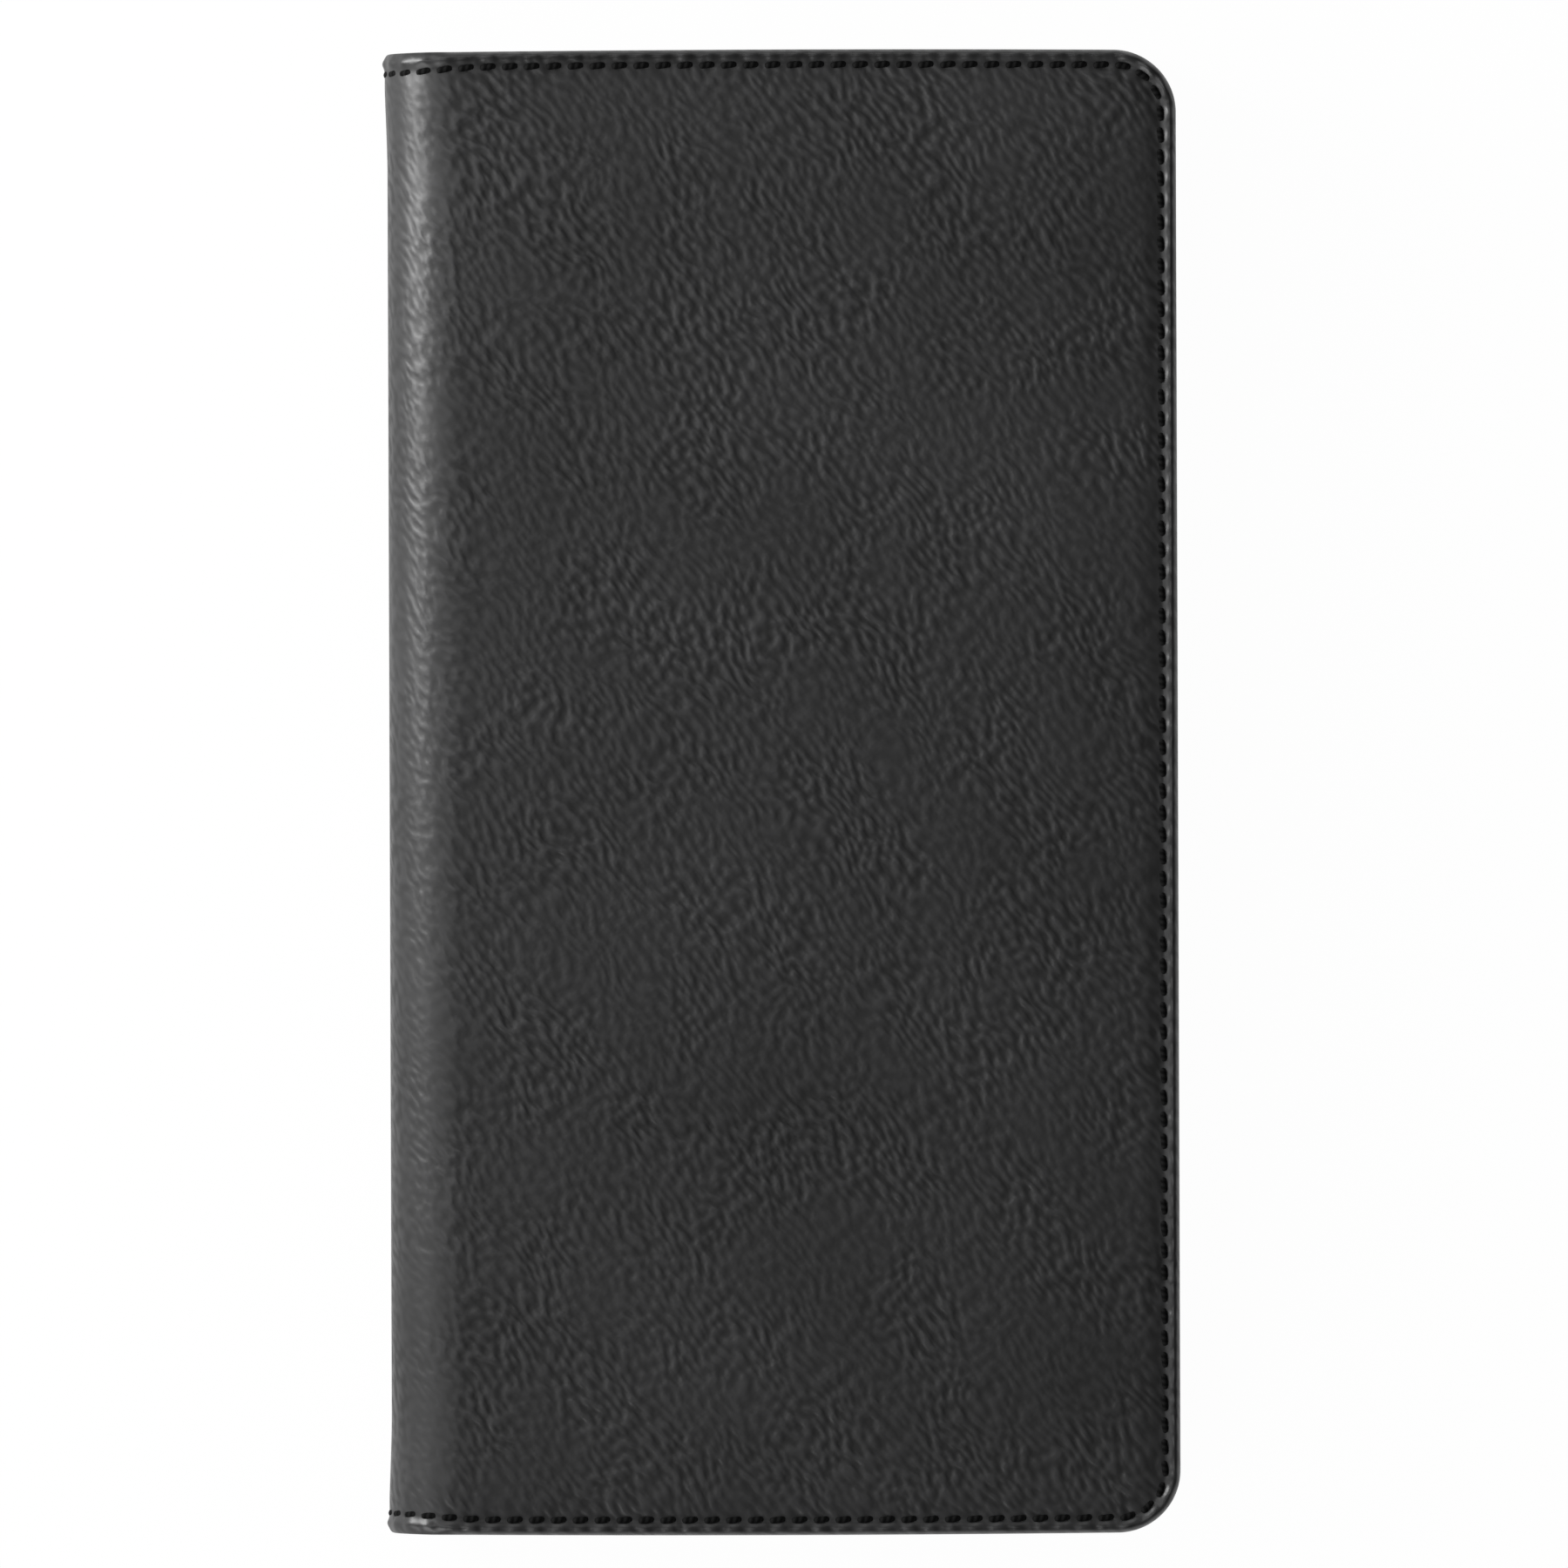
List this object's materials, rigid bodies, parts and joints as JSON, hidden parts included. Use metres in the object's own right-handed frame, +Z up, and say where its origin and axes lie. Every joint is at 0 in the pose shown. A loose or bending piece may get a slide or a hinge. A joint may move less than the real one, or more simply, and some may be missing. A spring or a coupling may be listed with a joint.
{
  "type": "credit card holder",
  "caption": "Long black leather card holder that opens like a book on a soft half-round fold, with a note pocket and stepped card slots inside each stiffened cover.",
  "frame": {"origin": "centre of the closed holder's outline, on the face of the back cover that lies on the table", "axes": "+Z up, out of the front cover; +Y along the fold, upwards in the picture; +X from the fold to the open edge"},
  "size_m": [0.101, 0.19, 0.018],
  "materials": {
    "cover_leather": "black grained leather with fine pebble and slanting creases, soft satin sheen",
    "panel_leather": "thin smooth black leather, fine grain, satin",
    "lining": "black woven lining, matte",
    "board": "grey-brown pressed board, matte",
    "tape": "black non-woven tape, matte",
    "thread": "black bonded sewing thread, slight sheen"
  },
  "bodies": {
    "back_half": {"back_cover_leather": "cover_leather", "back_stiffener_board": "board", "back_lining": "lining", "back_inner_panel": "panel_leather", "back_upper_card_slot_1": "panel_leather", "back_upper_card_slot_2": "panel_leather", "back_upper_card_slot_3": "panel_leather", "back_lower_card_slot_1": "panel_leather", "back_lower_card_slot_2": "panel_leather", "back_lower_card_slot_3": "panel_leather", "back_seam_thread": "thread"},
    "spine": {"spine_leather": "cover_leather", "spine_reinforcement_tape": "tape", "spine_lining": "lining", "spine_upper_seam_thread": "thread", "spine_lower_seam_thread": "thread"},
    "front_half": {"front_cover_leather": "cover_leather", "front_stiffener_board": "board", "front_lining": "lining", "front_inner_panel": "panel_leather", "front_upper_card_slot_1": "panel_leather", "front_upper_card_slot_2": "panel_leather", "front_upper_card_slot_3": "panel_leather", "front_lower_card_slot_1": "panel_leather", "front_lower_card_slot_2": "panel_leather", "front_lower_card_slot_3": "panel_leather", "front_seam_thread": "thread"}
  },
  "joints": [
    {"name": "back_crease", "type": "hinge", "parent": "back_half", "child": "spine", "pos_m": [-0.04786, 0, 0.00264], "axis": [0, -1, 0], "range_deg": [0, 90]},
    {"name": "front_crease", "type": "hinge", "parent": "spine", "child": "front_half", "pos_m": [-0.04786, 0, 0.01536], "axis": [0, -1, 0], "range_deg": [0, 90]}
  ]
}
